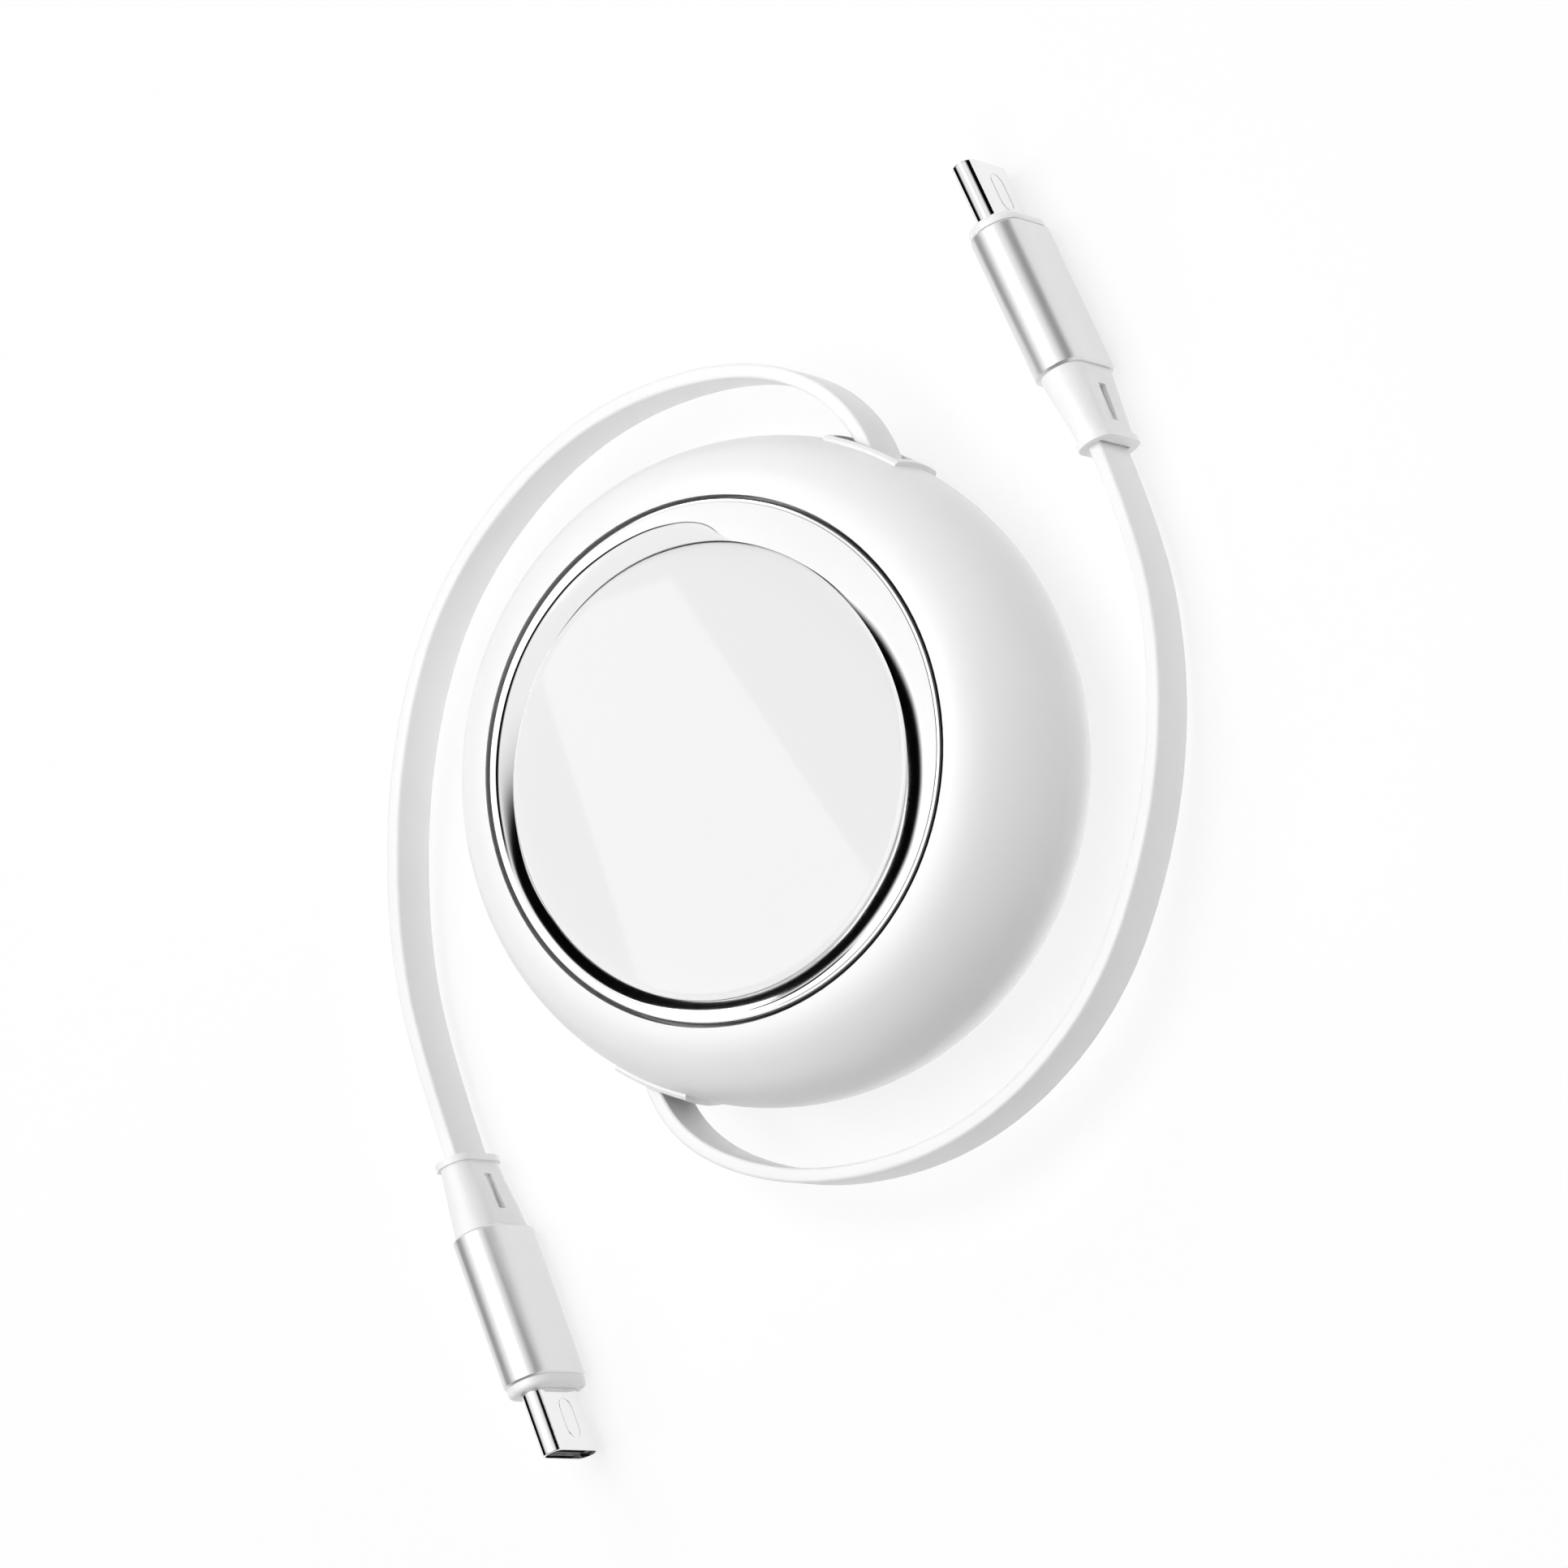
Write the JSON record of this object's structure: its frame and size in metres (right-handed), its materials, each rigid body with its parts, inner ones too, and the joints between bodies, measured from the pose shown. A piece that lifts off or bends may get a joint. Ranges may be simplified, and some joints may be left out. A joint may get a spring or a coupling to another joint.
{
  "type": "retractable charging cable",
  "caption": "Round white reel case with a chrome-ringed grey disc and flat ribbon cables that pull out of opposite mouths and end in metal USB-C plugs.",
  "frame": {"origin": "centre of the case's flat back, on the floor", "axes": "+Z along the case axis out of the front disc, +Y towards the mouth of cable a, whose middle is 2.5 degrees from it"},
  "size_m": [0.0869, 0.1354, 0.0246],
  "materials": {
    "case_white": "smooth satin white moulding",
    "trim_chrome": "polished",
    "disc_grey": "polished light grey",
    "tape": "adhesive film",
    "steel": "plain",
    "spring_steel": "blued strip",
    "reel_plastic": "moulded",
    "ribbon_white": "matte white elastomer",
    "pawl_plastic": "moulded",
    "relief_white": "soft matte white",
    "sleeve_aluminium": "polished",
    "core_white": "smooth white",
    "plug_steel": "nickel plated",
    "insulator_black": "black moulding",
    "contact_gold": "gold plated",
    "board_green": "circuit board"
  },
  "bodies": {
    "case": {"front_shell": "case_white", "rear_shell": "case_white", "trim_ring": "trim_chrome", "face_disc": "disc_grey", "disc_tape": "tape", "case_screw": "steel", "mainspring": "spring_steel", "ribbon_a": "ribbon_white", "ribbon_b": "ribbon_white", "plug_a_relief": "relief_white", "plug_a_sleeve": "sleeve_aluminium", "plug_a_core": "core_white", "plug_a_shell": "plug_steel", "plug_a_insulator": "insulator_black", "plug_a_contacts": "contact_gold", "plug_a_board": "board_green", "plug_b_relief": "relief_white", "plug_b_sleeve": "sleeve_aluminium", "plug_b_core": "core_white", "plug_b_shell": "plug_steel", "plug_b_insulator": "insulator_black", "plug_b_contacts": "contact_gold", "plug_b_board": "board_green"},
    "reel": {"spool": "reel_plastic", "spring_cover": "reel_plastic", "cable_winding": "ribbon_white"},
    "pawl": {"ratchet_pawl": "pawl_plastic"}
  },
  "joints": [
    {"name": "reel_turn", "type": "hinge", "parent": "case", "child": "reel", "pos_m": [0, 0, 0.0122], "axis": [0, 0, 1], "range_deg": [-310, 1000]},
    {"name": "pawl_swing", "type": "hinge", "parent": "case", "child": "pawl", "pos_m": [-0.01236, -0.00657, 0.0175], "axis": [0, 0, -1], "range_deg": [0, 32]}
  ]
}
